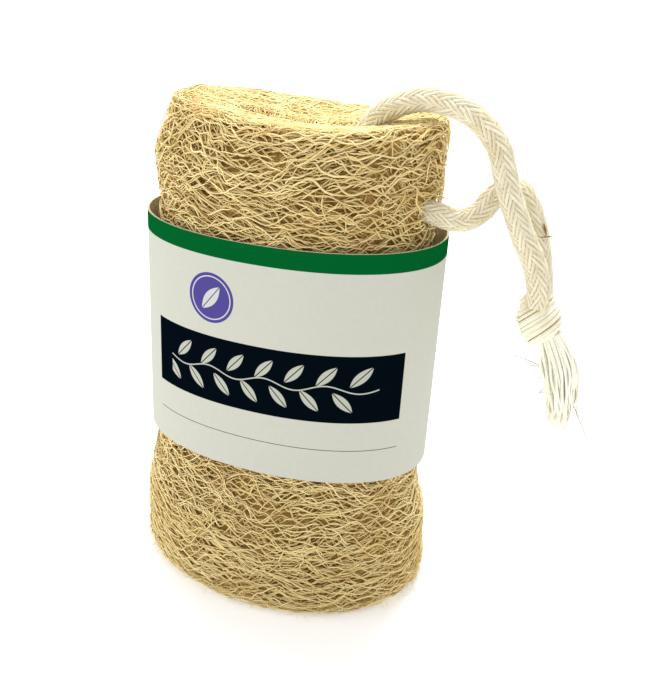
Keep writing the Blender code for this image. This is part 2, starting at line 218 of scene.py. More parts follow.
def finish_tree(t, given, result, curve, ring, thickness):
    """Ends a tree with closed smooth tubes along its curves, made real and with their material."""
    tube = t.node(
        "GeometryNodeCurveToMesh",
        {
            "Curve": curve,
            "Profile Curve": ring,
            "Scale": thickness,
            "Fill Caps": True,
        },
    )
    smooth = t.node("GeometryNodeSetShadeSmooth", {"Geometry": tube.outputs[0]})
    real = t.node("GeometryNodeRealizeInstances", {"Geometry": smooth.outputs[0]})
    painted = t.node(
        "GeometryNodeSetMaterial",
        {"Geometry": real.outputs[0], "Material": given.outputs["Material"]},
    )
    t.feed(result.inputs["Geometry"], painted.outputs[0])
    return t.tree


def strand_tree():
    """Turns each line of a mesh into a closed round strand, as thick as its points say."""
    t, given, result = new_geometry_tree(
        "strands along lines", {"Sides": "Int", "Material": "Material"}
    )
    thickness = t.node("GeometryNodeInputNamedAttribute", {"Name": "thickness"}, data_type="FLOAT")
    curve = t.node("GeometryNodeMeshToCurve", {"Mesh": given.outputs["Geometry"]})
    ring = profile(t, given.outputs["Sides"])
    return finish_tree(t, given, result, curve.outputs[0], ring, thickness.outputs[0])


def plait_tree():
    """Lays yarns round a line, over two and under two, as a braiding machine does."""
    t, given, result = new_geometry_tree(
        "plait along a line",
        {
            "Carriers": "Int",
            "Yarns a carrier": "Int",
            "Lay length": "Float",
            "Plait radius": "Float",
            "Over and under": "Float",
            "Yarn spacing": "Float",
            "Yarn thickness": "Float",
            "Step": "Float",
            "Sides": "Int",
            "Material": "Material",
        },
    )
    out = given.outputs
    yarns = out["Yarns a carrier"]
    curve = t.node("GeometryNodeMeshToCurve", {"Mesh": out["Geometry"]}).outputs[0]
    steps = t.node(
        "GeometryNodeResampleCurve", {"Curve": curve, "Length": out["Step"]}, mode="LENGTH"
    )
    copies = t.node(
        "GeometryNodeDuplicateElements",
        {"Geometry": steps.outputs[0], "Amount": t.times(out["Carriers"], yarns)},
        domain="SPLINE",
    )
    number = copies.outputs["Duplicate Index"]
    length = t.node("GeometryNodeSplineParameter").outputs["Length"]

    # Half of the carriers go round one way and half the other way
    carrier = t.math("FLOOR", t.over(t.plus(number, 0.01), yarns))
    half = t.times(out["Carriers"], 0.5)
    goes_back = t.math("GREATER_THAN", carrier, t.minus(half, 0.5))
    direction = t.minus(1.0, t.times(goes_back, 2.0))
    own = t.minus(carrier, t.times(goes_back, half))

    # The yarns of one carrier lie side by side
    place = t.minus(number, t.times(carrier, yarns))
    middle = t.times(t.minus(yarns, 1.0), 0.5)
    aside = t.times(t.minus(place, middle), out["Yarn spacing"])

    # The yarn's angle round the line
    turns = t.over(length, out["Lay length"])
    sweep = t.times(t.times(turns, 2.0 * math.pi), direction)
    start = t.times(own, t.over(2.0 * math.pi, half))
    angle = t.plus(t.plus(sweep, start), aside)

    # Its distance from the line, outside two crossing yarns and then inside two
    crossing_aside = t.times(aside, t.times(half, 0.5 / math.pi))
    crossing = t.plus(t.times(turns, t.times(half, 2.0)), t.times(crossing_aside, direction))
    phase = t.plus(t.times(crossing, direction), t.times(own, 2.0))
    wave = t.math("COSINE", t.times(t.minus(phase, 0.5), 0.5 * math.pi))
    long_float = t.math("MINIMUM", t.math("MAXIMUM", t.times(wave, 1.7), -1.0), 1.0)
    lift = t.times(t.times(long_float, direction), out["Over and under"])
    radius = t.plus(out["Plait radius"], lift)

    normal = t.node("GeometryNodeInputNormal").outputs[0]
    tangent = t.node("GeometryNodeInputTangent").outputs[0]
    other = t.vector("CROSS_PRODUCT", tangent, normal)
    level = t.scaled(normal, t.math("COSINE", angle))
    upright = t.scaled(other, t.math("SINE", angle))
    spoke = t.vector("ADD", level, upright)
    moved = t.node(
        "GeometryNodeSetPosition",
        {"Geometry": copies.outputs["Geometry"], "Offset": t.scaled(spoke, radius)},
    )
    marked = stored(t, moved.outputs[0], "along", length)
    toned = stored(t, marked, "tone", t.math("FRACT", t.times(number, 0.381)))
    factor = t.node("GeometryNodeSplineParameter").outputs["Factor"]
    around = stored(t, profile(t, out["Sides"]), "around", factor)
    return finish_tree(t, given, result, toned, around, out["Yarn thickness"])


def add_object(name, mesh):
    obj = bpy.data.objects.new(name, mesh)
    bpy.context.scene.collection.objects.link(obj)
    return obj


def bridge(bm, lower, upper, material_index=0):
    """Smooth faces from one ring of points to the next."""
    for number in range(len(lower)):
        right = (number + 1) % len(lower)
        face = bm.faces.new((lower[number], lower[right], upper[right], upper[number]))
        face.material_index = material_index
        face.smooth = True


def object_from(name, bm, materials):
    """The object that a bmesh makes, which ends the bmesh."""
    mesh = bpy.data.meshes.new(name)
    bm.to_mesh(mesh)
    bm.free()
    for material in materials:
        mesh.materials.append(material)
    return add_object(name, mesh)


def line_mesh(name, lines, values):
    """A mesh of open lines. values gives each point's numbers by name."""
    points = np.concatenate(lines).astype(np.float32)
    last = np.cumsum([len(line) for line in lines]) - 1
    starts = np.delete(np.arange(len(points)), last)
    edges = np.stack([starts, starts + 1], axis=1).astype(np.int32)
    mesh = bpy.data.meshes.new(name)
    mesh.vertices.add(len(points))
    mesh.vertices.foreach_set("co", points.ravel())
    mesh.edges.add(len(edges))
    mesh.edges.foreach_set("vertices", edges.ravel())
    for label, arrays in values.items():
        attribute = mesh.attributes.new(label, "FLOAT", "POINT")
        attribute.data.foreach_set("value", np.concatenate(arrays).astype(np.float32))
    return mesh


def grown(name, mesh, tree, inputs):
    """The plain mesh object that this tree makes of a mesh."""
    obj = add_object(name, mesh)
    modifier = obj.modifiers.new("shape", "NODES")
    modifier.node_group = tree
    for item in tree.interface.items_tree:
        if item.in_out == "INPUT" and item.name in inputs:
            modifier[item.identifier] = inputs[item.name]
    graph = bpy.context.evaluated_depsgraph_get()
    made = bpy.data.meshes.new_from_object(obj.evaluated_get(graph))
    obj.modifiers.clear()
    obj.data = made
    made.name = name
    return obj


def ride(piece):
    """Fixes a piece to the part."""
    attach(piece, "root")
    return piece


# Materials


def new_material(name, base, roughness, shine=0.5):
    material = bpy.data.materials.new(name)
    material.use_nodes = True
    shader = material.node_tree.nodes["Principled BSDF"]
    shader.inputs["Base Color"].default_value = base
    shader.inputs["Roughness"].default_value = roughness
    shader.inputs["Specular IOR Level"].default_value = shine
    return material, Tree(material.node_tree), shader


def fibre_material(name):
    """Dry plant fibre: pale straw, with painted shade that turns the strands deep in the net ochre.
    """
    material, t, shader = new_material(name, colour(226, 202, 148), 0.6, 0.35)
    place = t.place()
    pale = t.mix(t.attribute("tone"), colour(252, 235, 178), colour(236, 210, 142))
    # Painted shade: the deeper a strand lies in the net, the more its colour goes over to a dark
    # ochre.
    deep = t.mix(t.between(t.attribute("depth"), 0.15, 1.0), pale, colour(196, 158, 80))
    patch = t.between(t.noise(place, 55.0, 3.0), 0.42, 0.7)
    warm = t.mix(t.times(patch, 0.3), deep, colour(212, 176, 100))
    t.feed(shader.inputs["Base Color"], warm)
    t.feed(shader.inputs["Normal"], t.bump(0.25, 0.1 * MM, t.noise(place, 2600.0)))
    return material


def painted_shade_backing_material(name):
    """The brown seen deep between the strands: the ochre of the inner fibres, darkened with painted
    shade.
    """
    material, t, shader = new_material(name, colour(120, 88, 32), 0.9)
    grain = t.noise(t.place(), 700.0, 4.0, 0.7)
    # Painted shade: dark brown for the fibres deep in the net, which lie in shade; the grain is their
    # own texture.
    brown = t.mix(t.between(grain, 0.3, 0.7), colour(122, 90, 32), colour(186, 150, 76))
    t.feed(shader.inputs["Base Color"], brown)
    t.feed(shader.inputs["Normal"], t.bump(0.9, 0.6 * MM, grain))
    return material


def cotton_material(name, twist, light, dark, stained):
    """Soft undyed cotton yarn. twist is the turns of its plies in a metre."""
    material, t, shader = new_material(name, light, 0.85, 0.2)
    shader.inputs["Sheen Weight"].default_value = 0.25
    place = t.place()
    turn = t.plus(t.times(t.attribute("along"), twist), t.times(t.attribute("around"), 3.0))
    plies = t.math("SINE", t.times(turn, 2.0 * math.pi))
    fluff = t.noise(place, 2400.0, 3.0, 0.6)
    height = t.plus(t.times(plies, 0.5), t.times(fluff, 1.2))
    pale = t.mix(t.attribute("tone"), light, dark)
    stain = t.between(t.noise(place, 90.0), 0.5, 0.75)
    t.feed(shader.inputs["Base Color"], t.mix(t.times(stain, 0.4), pale, stained))
    t.feed(shader.inputs["Normal"], t.bump(0.5, 0.12 * MM, height))
    return material


FIBRE = fibre_material("loofah fibre")
SHADE_BACKING = painted_shade_backing_material("loofah backing, painted shade")
COTTON = cotton_material(
    "plaited cotton", 420.0, colour(240, 233, 208), colour(224, 213, 180), colour(208, 186, 138)
)
# Painted light: a near-white copy of the cord's cotton for the tassel, which makes up for the shade
# between its yarns.
LOOSE_COTTON_PAINTED_LIGHT = cotton_material(
    "loose cotton, painted light", 420.0, colour(255, 253, 240), colour(251, 247, 226), colour(246, 238, 206)
)
# Painted light: a lighter copy of the cord's cotton for the knot.
KNOT_COTTON_PAINTED_LIGHT = cotton_material(
    "knotted cotton, painted light", 420.0, colour(250, 246, 226), colour(236, 228, 198), colour(226, 210, 166)
)
STRAY = cotton_material(
    "stray hair", 60.0, colour(166, 164, 134), colour(138, 108, 50), colour(160, 150, 112)
)
STRANDS = strand_tree()
PLAIT = plait_tree()


# Cord: the route of part.py's cord

CORD_FILLING = 3.9 * MM
CORD_ROUTE_MM = (
    (59.2, -3.3, 86.2),
    (59.1, -3.3, 90.2),
    (57.4, -3.2, 95.4),
    (54.0, -3.1, 101.3),
    (51.0, -3.0, 107.4),
    (48.4, -2.6, 113.5),
    (46.4, -2.1, 118.5),
    (43.0, -1.6, 122.2),
    (38.8, -1.1, 124.8),
    (33.9, -0.5, 125.8),
    (28.9, 0.0, 125.9),
    (23.6, 0.0, 124.3),
    (18.6, 0.2, 120.8),
    (15.6, 0.2, 115.6),
    (15.8, -0.2, 110.0),
    (19.2, -0.8, 105.7),
    (24.6, -1.5, 103.5),
    (30.4, -2.0, 102.8),
    (35.4, -1.6, 101.8),
    (38.6, -0.8, 101.0),
    (41.4, 0.3, 101.6),
    (43.6, 1.6, 103.5),
    (45.3, 2.6, 106.2),
    (47.3, 3.3, 108.3),
    (49.6, 3.6, 108.9),
    (51.7, 3.6, 107.9),
    (53.4, 3.5, 105.6),
    (54.9, 3.5, 102.4),
    (56.3, 3.5, 98.4),
    (57.4, 3.4, 94.2),
    (58.3, 3.4, 90.0),
    (58.9, 3.3, 86.0),
)


def smooth_line(route, step):
    """Points at even steps along the smooth curve through these points."""
    route = np.asarray(route, float)
    padded = np.vstack([2.0 * route[0] - route[1], route, 2.0 * route[-1] - route[-2]])
    fine = []
    for before, start, end, after in zip(padded, padded[1:], padded[2:], padded[3:]):
        t = np.linspace(0.0, 1.0, 16, endpoint=False)[:, None]
        fine.append(
            0.5
            * (
                2.0 * start
                + (end - before) * t
                + (2.0 * before - 5.0 * start + 4.0 * end - after) * t**2
                + (3.0 * start - before - 3.0 * end + after) * t**3
            )
        )
    fine = np.vstack([*fine, route[-1:]])
    lengths = np.concatenate([[0.0], np.cumsum(np.linalg.norm(np.diff(fine, axis=0), axis=1))])
    wanted = np.linspace(0.0, lengths[-1], round(lengths[-1] / step) + 1)
    return np.stack([np.interp(wanted, lengths, fine[:, axis]) for axis in range(3)], axis=1)


cord_line = smooth_line(np.array(CORD_ROUTE_MM) * MM, 1.0 * MM)

cord_places = KDTree(len(cord_line))
for index, point in enumerate(cord_line):
    cord_places.insert(point, index)
cord_places.balance()


def make_cord():
    """The plaited cord: yarns round a soft filling, as one piece."""
    plait = grown(
        "hanging_cord_plait",
        line_mesh("hanging_cord_plait", [cord_line], {}),
        PLAIT,
        {
            "Carriers": 16,
            "Yarns a carrier": 2,
            "Lay length": 29.0 * MM,
            "Plait radius": 2.14 * MM,
            "Over and under": 0.16 * MM,
            "Yarn spacing": 0.38,
            "Yarn thickness": 0.78 * MM,
            "Step": 0.85 * MM,
            "Sides": 6,
            "Material": COTTON,
        },
    )
    thickness = np.full(len(cord_line), CORD_FILLING)
    filling = grown(
        "cord_filling",
        line_mesh("cord_filling", [cord_line], {"thickness": [thickness]}),
        STRANDS,
        {"Sides": 12, "Material": COTTON},
    )
    return joined([plait, filling])


def joined(objects):
    """Several objects as the first one."""
    bm = bmesh.new()
    for obj in objects:
        bm.from_mesh(obj.data)
    bm.to_mesh(objects[0].data)
    bm.free()
    for obj in objects[1:]:
        bpy.data.objects.remove(obj, do_unlink=True)
    return objects[0]


cord = ride(make_cord())
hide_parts("hanging_cord")


# Sponge: part.py's form with a softer front rim, as a chart of places round and up its side

SPONGE_HEIGHT = 118.8 * MM
BOTTOM_EDGE_RADIUS = 3.4 * MM
TOP_EDGE_RADIUS = 2.4 * MM
TOP_END_RISE = 2.9 * MM
TOP_RIGHT_MORE = 0.8 * MM
TOP_DISH_DEPTH = 1.6 * MM
SLEEVE_BOTTOM = 35.9 * MM
SLEEVE_TOP = 94.4 * MM
SLEEVE_SLOPE = 0.042
TOP_HALF_DEPTH = 17.2 * MM
TOP_BACK_SHIFT = 1.4 * MM
TOP_HALF_WIDTH = 33.0 * MM
TOP_ROUNDNESS = 2.3
TOP_MIDDLE = 1.0 * MM
TOP_NARROWS_FROM = 106.0 * MM
TOP_DISH_REACH = 18.6 * MM
# Each row: height, half width, half depth, roundness, shift along X
SPONGE_SECTIONS_MM = (
    (0.0, 39.5, 30.0, 1.95, 0.0),
    (16.0, 38.7, 28.8, 1.95, -0.3),
    (33.6, 36.0, 20.85, 2.05, -0.7),
    (96.5, 33.9, 20.85, 2.1, -0.7),
    (106.0, 35.0, 20.6, 2.15, -0.7),
    (118.8, TOP_HALF_WIDTH / MM, TOP_HALF_DEPTH / MM, TOP_ROUNDNESS, 1.0),
)
MIDDLE_HALF_WIDTH = 35.0 * MM
MIDDLE_HALF_DEPTH = 22.5 * MM
MIDDLE_ROUNDNESS = 2.05
GIRTH = 190.0 * MM
SIDE_HEIGHT = SPONGE_HEIGHT - BOTTOM_EDGE_RADIUS - TOP_EDGE_RADIUS
BOTTOM_ARC = 0.5 * math.pi * BOTTOM_EDGE_RADIUS
TOP_ARC = 0.5 * math.pi * TOP_EDGE_RADIUS


def ease(t):
    t = np.clip(t, 0.0, 1.0)
    return t * t * (3.0 - 2.0 * t)


def section_at(height):
    """The sponge's half width, half depth, roundness and shift at these heights."""
    table = np.array(SPONGE_SECTIONS_MM)
    levels = table[:, 0] * MM
    height = np.clip(height, 0.0, SPONGE_HEIGHT)
    lower = np.clip(np.searchsorted(levels, height, side="right") - 1, 0, len(levels) - 2)
    share = ease((height - levels[lower]) / (levels[lower + 1] - levels[lower]))
    found = table[lower, 1:] + (table[lower + 1, 1:] - table[lower, 1:]) * share[..., None]
    return found[..., 0] * MM, found[..., 1] * MM, found[..., 2], found[..., 3] * MM


def power(value, exponent):
    return np.sign(value) * np.abs(value) ** exponent


def outline(half_width, half_depth, roundness, angle):
    """The points of a rounded outline at these angles, and the way out at each of them."""
    across, along = np.cos(angle), np.sin(angle)
    x = half_width * power(across, 2.0 / roundness)
    y = half_depth * power(along, 2.0 / roundness)
    out_x = power(across, 2.0 - 2.0 / roundness) / half_width
    out_y = power(along, 2.0 - 2.0 / roundness) / half_depth
    size = np.hypot(out_x, out_y)
    return x, y, out_x / size, out_y / size


def even_angles():
    """The outline's angle at even steps of its girth, for the sponge's middle."""
    angle = np.linspace(0.0, 2.0 * math.pi, 4001)
    x, y, _, _ = outline(MIDDLE_HALF_WIDTH, MIDDLE_HALF_DEPTH, MIDDLE_ROUNDNESS, angle)
    lengths = np.concatenate([[0.0], np.cumsum(np.hypot(np.diff(x), np.diff(y)))])
    return lengths / lengths[-1], angle


GIRTH_SHARES, GIRTH_ANGLES = even_angles()


def end_rise(x, height):
    """How much higher the two ends of the top stand than its middle."""
    share = ease((height - SLEEVE_TOP) / (SPONGE_HEIGHT - SLEEVE_TOP))
    out = np.clip(x / TOP_HALF_WIDTH, -1.0, 1.0)
    return (TOP_END_RISE + TOP_RIGHT_MORE * out) * share * out**2


def sponge_place(u, v, depth):
    """The point u round the sponge and v up its side, at this depth under the surface."""
    angle = np.interp((u / GIRTH) % 1.0, GIRTH_SHARES, GIRTH_ANGLES)
    low = np.clip(-v / BOTTOM_EDGE_RADIUS, 0.0, 0.5 * math.pi)
    high = np.clip((v - SIDE_HEIGHT) / TOP_EDGE_RADIUS, 0.0, 0.5 * math.pi)
    on_bottom = np.maximum(-v - BOTTOM_ARC, 0.0)
    on_top = np.maximum(v - SIDE_HEIGHT - TOP_ARC, 0.0)
    height = BOTTOM_EDGE_RADIUS * (1.0 - np.sin(low)) + np.clip(v, 0.0, SIDE_HEIGHT)
    height = height + TOP_EDGE_RADIUS * np.sin(high)
    inset = BOTTOM_EDGE_RADIUS * (1.0 - np.cos(low)) + TOP_EDGE_RADIUS * (1.0 - np.cos(high))
    inset = inset + on_bottom + on_top
    half_width, half_depth, roundness, shift = section_at(height)
    half_width = np.maximum(half_width - inset, 2.0 * MM)
    half_depth = np.maximum(half_depth - inset, 0.5 * MM)
    x, y, out_x, out_y = outline(half_width, half_depth, roundness, angle)
    narrowing = (height - TOP_NARROWS_FROM) / (SPONGE_HEIGHT - TOP_NARROWS_FROM)
    y = y + TOP_BACK_SHIFT * ease(narrowing)
    z = height + end_rise(x, height) - TOP_DISH_DEPTH * ease(on_top / TOP_DISH_REACH)
    tilt = high - low
    normal = np.stack([np.cos(tilt) * out_x, np.cos(tilt) * out_y, np.sin(tilt)], axis=-1)
    return np.stack([x + shift, y, z], axis=-1) - normal * np.asarray(depth)[..., None]


class Field:
    """A smooth repeatable wander over the sponge's side, about -1 to 1, that closes round it."""

    WAVES = 9

    def __init__(self, draw, size):
        self.round = np.round(draw.normal(0.0, GIRTH / size * 0.5, self.WAVES))
        self.up = draw.normal(0.0, 0.5 / size, self.WAVES)
        self.start = draw.uniform(0.0, 2.0 * math.pi, self.WAVES)

    def __call__(self, u, v):
        total = 0.0
        for turns, rise, start in zip(self.round, self.up, self.start):
            total = total + np.sin(2.0 * math.pi * (turns * u / GIRTH + rise * v) + start)
        return total / math.sqrt(0.5 * self.WAVES) * 0.6


def covered(u, v, margin):
    """How far a place lies under the sleeve, from 0 to 1."""
    place = sponge_place(u, v, np.zeros_like(u))
    level = place[..., 2] - SLEEVE_SLOPE * (place[..., 0] - SPONGE_SHIFT)
    return ease((level - SLEEVE_BOTTOM) / margin) * ease((SLEEVE_TOP - level) / margin)


# The corner of the sponge, right and above these places, where the cord goes in and out
CORD_CORNER = (8.0 * MM, 94.0 * MM)
CORD_CLEARANCE = 3.0 * MM


class Strands:
    """Collects lines with their thickness, tone and depth, cut where the cord passes."""

    def __init__(self):
        self.lines, self.thickness, self.tone, self.depth = [], [], [], []

    def add(self, points, thickness, tone, depth):
        points[:, 2] = np.maximum(points[:, 2], 0.5 * thickness)
        keep = np.ones(len(points), bool)
        for number, point in enumerate(points):
            if point[0] > CORD_CORNER[0] and point[2] > CORD_CORNER[1]:
                keep[number] = cord_places.find(point)[2] > CORD_CLEARANCE
        start = 0
        while start < len(points):
            if not keep[start]:
                start += 1
                continue
            end = start
            while end < len(points) and keep[end]:
                end += 1
            if end - start >= 3:
                self.lines.append(points[start:end])
                self.thickness.append(thickness[start:end])
                self.tone.append(np.full(end - start, tone))
                self.depth.append(np.broadcast_to(depth, len(points))[start:end])
            start = end

    def grow(self, name):
        values = {"thickness": self.thickness, "tone": self.tone, "depth": self.depth}
        mesh = line_mesh(name, self.lines, values)
        return grown(name, mesh, STRANDS, {"Sides": 3, "Material": FIBRE})


def tapered(count, share=0.2):
    """Full in the middle and thin at both ends."""
    t = np.linspace(0.0, 1.0, count)
    return 0.35 + 0.65 * ease(np.minimum(t, 1.0 - t) / share)


NET_STEP = 0.95 * MM
NET_BOTTOM = -BOTTOM_ARC - 1.0 * MM
NET_TOP = SIDE_HEIGHT + TOP_ARC + 1.0 * MM
# How deep a strand lies when its painted shade is full.
PAINTED_SHADE_DEPTH = 2.4 * MM


def net_rows(draw, strands, spacing, cell, depth, thickness, wander):
    """Wavy strands round the sponge that touch their neighbours in turn, so that they leave
    lens-shaped openings between them."""
    drift_up, drift_round = Field(draw, 34.0 * MM), Field(draw, 30.0 * MM)
    ripple_up, phase_wander = Field(draw, 7.0 * MM), Field(draw, 14.0 * MM)
    in_out, swell = Field(draw, 13.0 * MM), Field(draw, 9.0 * MM)
    for row in range(int((NET_TOP - NET_BOTTOM) / spacing)):
        base = NET_BOTTOM + (row + 0.5) * spacing
        sign = 1.0 if row % 2 else -1.0
        u = draw.uniform(0.0, GIRTH)
        travelled = 0.0
        while travelled < GIRTH:
            length = min(draw.uniform(14.0, 60.0) * MM, GIRTH - travelled + 4.0 * MM)
            steps = max(int(length / NET_STEP), 6)
            run = u + np.arange(steps) * NET_STEP
            level = np.full(steps, base)
            phase = 2.0 * math.pi * run / cell + 2.2 * phase_wander(run, level)
            wave = sign * 0.5 * spacing * np.cos(phase) * (0.92 + 0.25 * swell(run, level))
            drift = 3.0 * MM * drift_up(run, level) + 0.7 * MM * ripple_up(run, level)
            up = level + wave + wander * drift
            across = run + wander * 2.5 * MM * drift_round(run, level)
            under = depth + 0.3 * MM * in_out(run, level) + draw.uniform(-0.1, 0.15) * MM
            under = under + 0.9 * MM * (1.0 - tapered(steps, 0.12))
            under = under + 0.5 * MM * covered(across, up, 3.0 * MM)
            width = thickness * draw.uniform(0.75, 1.2) * tapered(steps, 0.1)
            width = width * (1.0 + 0.22 * swell(across, up * 1.3))
            points = sponge_place(across, up, under)
            tone = draw.uniform(0.0, 1.0)
            if depth < 0.5 * MM or covered(across, up, 8.0 * MM).min() < 0.9:
                # The depth value here sets the strand's painted shade.
                strands.add(points, width, tone, 0.5 * under / PAINTED_SHADE_DEPTH + 0.1)
            u += length - draw.uniform(0.0, 3.0) * MM
            travelled += length


def stray_strands(draw, strands, count, depths, thickness, lengths, spread):
    """Strands that follow the net's flow, each a little askew to it."""
    flow, curl, kink = Field(draw, 24.0 * MM), Field(draw, 8.0 * MM), Field(draw, 3.6 * MM)
    for _ in range(count):
        steps = int(draw.uniform(*lengths) / NET_STEP)
        u, v = draw.uniform(0.0, GIRTH), draw.uniform(NET_BOTTOM, NET_TOP)
        if covered(np.array([u]), np.array([v]), 9.0 * MM)[0] > 0.95:
            continue
        own = draw.normal(0.0, spread)
        bend = draw.normal(0.0, 0.03)
        turn = 2.0 * math.pi * NET_STEP / (draw.uniform(3.4, 8.0) * MM)
        start = draw.uniform(0.0, 2.0 * math.pi)
        sway = draw.uniform(0.1, 0.55)
        heading = 0.0 if draw.uniform() < 0.5 else math.pi
        # The flow turns the strands more at the narrow sides than on the broad faces
        flow_pull = 0.22 + 0.55 * (0.5 + 0.5 * math.cos(4.0 * math.pi * u / GIRTH))
        us, vs = [], []
        for step in range(steps):
            pull = flow_pull * float(flow(u, v)) + 0.3 * float(curl(u, v))
            wave = sway * math.sin(turn * step + start)
            angle = own + bend * step + pull + wave + 0.25 * float(kink(u, v))
            u += NET_STEP * math.cos(angle + heading)
            v += NET_STEP * math.sin(angle + heading)
            if not NET_BOTTOM < v < NET_TOP:
                break
            us.append(u)
            vs.append(v)
        if len(us) < 5:
            continue
        us, vs = np.array(us), np.array(vs)
        depth = draw.uniform(*depths)
        under = depth + 0.9 * MM * (1.0 - tapered(len(us), 0.15))
        under = under + 0.5 * MM * covered(us, vs, 3.0 * MM)
        width = thickness * draw.uniform(0.7, 1.25) * tapered(len(us), 0.2)
        points = sponge_place(us, vs, under)
        # The depth value here sets the strand's painted shade.
        strands.add(points, width, draw.uniform(0.0, 1.0), depth / PAINTED_SHADE_DEPTH)


def make_backing():
    """The net's depth: a bumpy closed body a little under the surface, in the dark brown of painted
    shade.
    """
    draw = np.random.default_rng(11)
    bumps, lumps = Field(draw, 5.0 * MM), Field(draw, 14.0 * MM)
    top_start = SIDE_HEIGHT + TOP_ARC
    levels = np.concatenate(
        [
            np.linspace(-BOTTOM_ARC - 20.0 * MM, -BOTTOM_ARC, 8, endpoint=False),
            np.linspace(-BOTTOM_ARC, 0.0, 5, endpoint=False),
            np.linspace(0.0, SIDE_HEIGHT, 90, endpoint=False),
            np.linspace(SIDE_HEIGHT, top_start, 5, endpoint=False),
            np.linspace(top_start, top_start + 15.0 * MM, 8),
        ]
    )
    sides = 180
    round_ = np.arange(sides) * GIRTH / sides
    clearance = 2.0 * MM - 0.7 * MM * np.abs(np.cos(2.0 * math.pi * round_ / GIRTH)) ** 3
    bm = bmesh.new()
    rings = []
    for level in levels:
        v = np.full(sides, level)
        under = clearance + 0.3 * MM * bumps(round_, v) + 0.25 * MM * lumps(round_, v)
        points = sponge_place(round_, v, under)
        points[:, 2] = np.maximum(points[:, 2], 1.2 * MM)
        rings.append([bm.verts.new(point) for point in points])
    for lower, upper in zip(rings, rings[1:]):
        bridge(bm, lower, upper)
    bm.faces.new(rings[0][::-1])
    bm.faces.new(rings[-1])
    bmesh.ops.triangulate(bm, faces=[face for face in bm.faces if len(face.verts) > 4])
    bmesh.ops.recalc_face_normals(bm, faces=bm.faces)
    for face in bm.faces:
        face.smooth = True
    return object_from("loofah_depth", bm, [SHADE_BACKING])


def make_net():
    """The sponge's net, as pieces from its surface inwards."""
    draw = np.random.default_rng(23)
    outer, inner, over, deep = Strands(), Strands(), Strands(), Strands()
    net_rows(
        draw, outer, spacing=1.4 * MM, cell=9.5 * MM, depth=0.25 * MM, thickness=0.4 * MM, wander=1.0
    )
    net_rows(
        draw, inner, spacing=1.3 * MM, cell=7.0 * MM, depth=1.15 * MM, thickness=0.42 * MM, wander=1.2
    )
    for strands, count, depths, thickness, lengths, spread in (
        (over, 5200, (-0.1 * MM, 0.7 * MM), 0.34 * MM, (4.0 * MM, 12.5 * MM), 0.24),
        (over, 520, (-0.25 * MM, 0.2 * MM), 0.33 * MM, (3.0 * MM, 8.0 * MM), 0.9),
        (deep, 3900, (0.8 * MM, 1.9 * MM), 0.45 * MM, (6.0 * MM, 19.0 * MM), 0.4),
    ):
        stray_strands(draw, strands, count, depths, thickness, lengths, spread)
    return [
        outer.grow("loofah_net_outer"),
        inner.grow("loofah_net_inner"),
        over.grow("loofah_net_over"),
        deep.grow("loofah_net_deep"),
    ]


# The cut faces: half sizes of their mats, the row of pits in the top, how it falls to its edge
TOP_MAT = (32.0 * MM, 15.9 * MM)
BOTTOM_MAT = (37.5 * MM, 28.0 * MM)
BOTTOM_MAT_LIFT = 0.25 * MM
PITS_HALF_LENGTH = 16.5 * MM
PITS_HALF_WIDTH = 2.6 * MM
PIT_DEPTH = 2.4 * MM
TOP_EDGE_START = 0.86
TOP_EDGE_FALL = 1.5 * MM
# How deep a strand of a cut face lies when its painted shade is full.
FACE_PAINTED_SHADE_DEPTH = 2.6 * MM


def face_place(x, y, depth, top):
    """A point of the cut top or bottom face."""
    if not top:
        return np.stack([x, y, BOTTOM_MAT_LIFT + depth], axis=-1)
    sideways = np.abs((x - TOP_MIDDLE) / TOP_HALF_WIDTH) ** TOP_ROUNDNESS
    reach = (sideways + np.abs(y / TOP_HALF_DEPTH) ** TOP_ROUNDNESS) ** (1.0 / TOP_ROUNDNESS)
    edge = np.clip((reach - TOP_EDGE_START) / (1.0 - TOP_EDGE_START), 0.0, 1.3)
    y = y + TOP_BACK_SHIFT
    height = SPONGE_HEIGHT + end_rise(x, np.full_like(x, SPONGE_HEIGHT))
    height = height - TOP_DISH_DEPTH * ease(1.0 - reach) - TOP_EDGE_FALL * edge**2
    along = (x - TOP_MIDDLE) / PITS_HALF_LENGTH
    pits = 0.35 + 0.65 * np.cos(1.5 * math.pi * np.clip(along, -1.0, 1.0)) ** 2
    slit = np.clip(1.0 - np.abs(y) / PITS_HALF_WIDTH, 0.0, 1.0) * (np.abs(along) < 1.0)
    height = height - PIT_DEPTH * ease(slit * 1.6) * pits
    return np.stack([x, y, height - depth], axis=-1)


